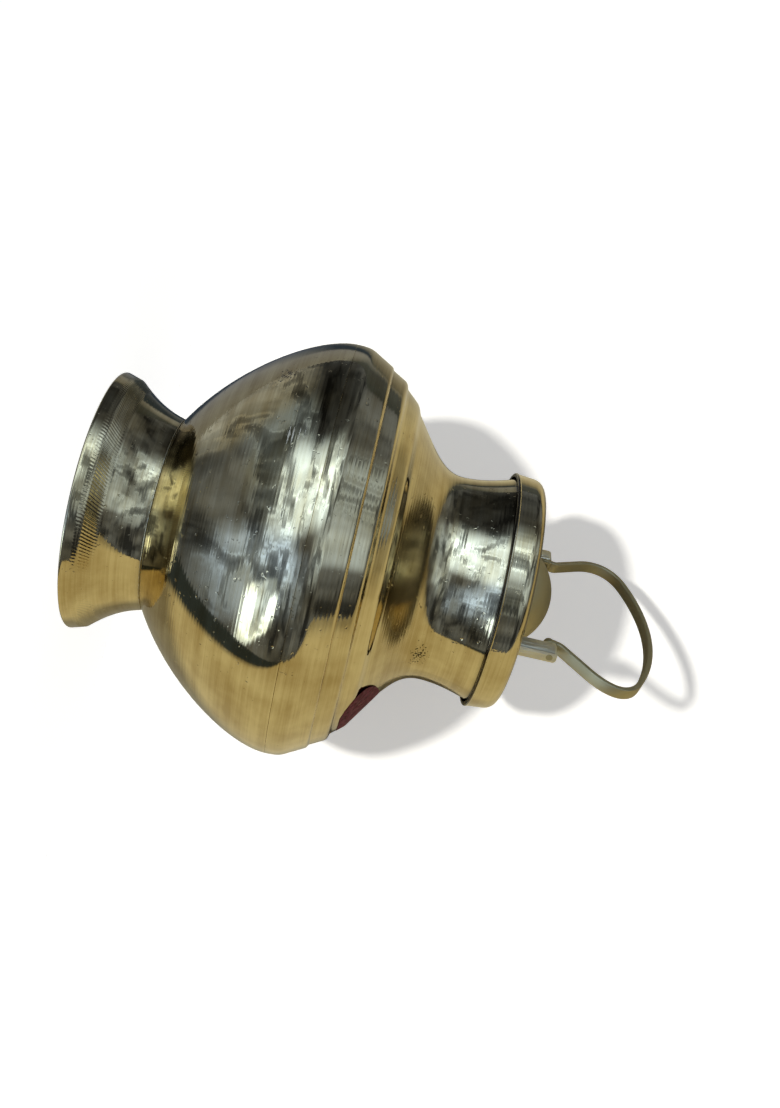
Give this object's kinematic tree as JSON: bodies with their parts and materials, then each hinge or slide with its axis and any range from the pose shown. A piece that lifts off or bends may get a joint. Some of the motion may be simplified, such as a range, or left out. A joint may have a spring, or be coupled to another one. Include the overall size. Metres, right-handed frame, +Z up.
{
  "type": "brass water pot",
  "caption": "Spun brass water pot on a flared ring foot, with stepped shoulder, waisted neck, domed screw lid and a bent strip bail that swings on ears on the lid.",
  "frame": {"origin": "centre of the foot ring's underside, which is the middle of the bounding box at its bottom", "axes": "+Z up along the pot's turning axis, X along the bail's pins, +Y the side the bail leans to"},
  "size_m": [0.1092, 0.1092, 0.1513],
  "materials": {
    "brass_body": "polished",
    "brass_ring": "satin",
    "brass_strip": "satin",
    "washer": "matte"
  },
  "bodies": {
    "pot": {"foot": "brass_body", "lower_bowl": "brass_body", "upper_body": "brass_body", "mouth_ring": "brass_ring"},
    "washer": {"seal_washer": "washer"},
    "lid": {"lid_cap": "brass_body", "lid_ring": "brass_ring", "ear_left": "brass_strip", "ear_right": "brass_strip", "bail_pins": "brass_strip"},
    "bail": {"bail_handle": "brass_strip"}
  },
  "joints": [
    {"name": "lid_rise", "type": "slide", "parent": "pot", "child": "washer", "axis": [0, 0, 1], "range_m": [0, 0.0075]},
    {"name": "lid_turn", "type": "hinge", "parent": "washer", "child": "lid", "pos_m": [0, 0, 0.112], "axis": [0, 0, 1], "range_deg": [0, 1080]},
    {"name": "bail_swing", "type": "hinge", "parent": "lid", "child": "bail", "pos_m": [0, 0, 0.121], "axis": [1, 0, 0], "range_deg": [-92, 112]}
  ],
  "couplings": [
    {"joint": "lid_rise", "follows": "lid_turn", "m_per_rad": 0.00039788}
  ]
}
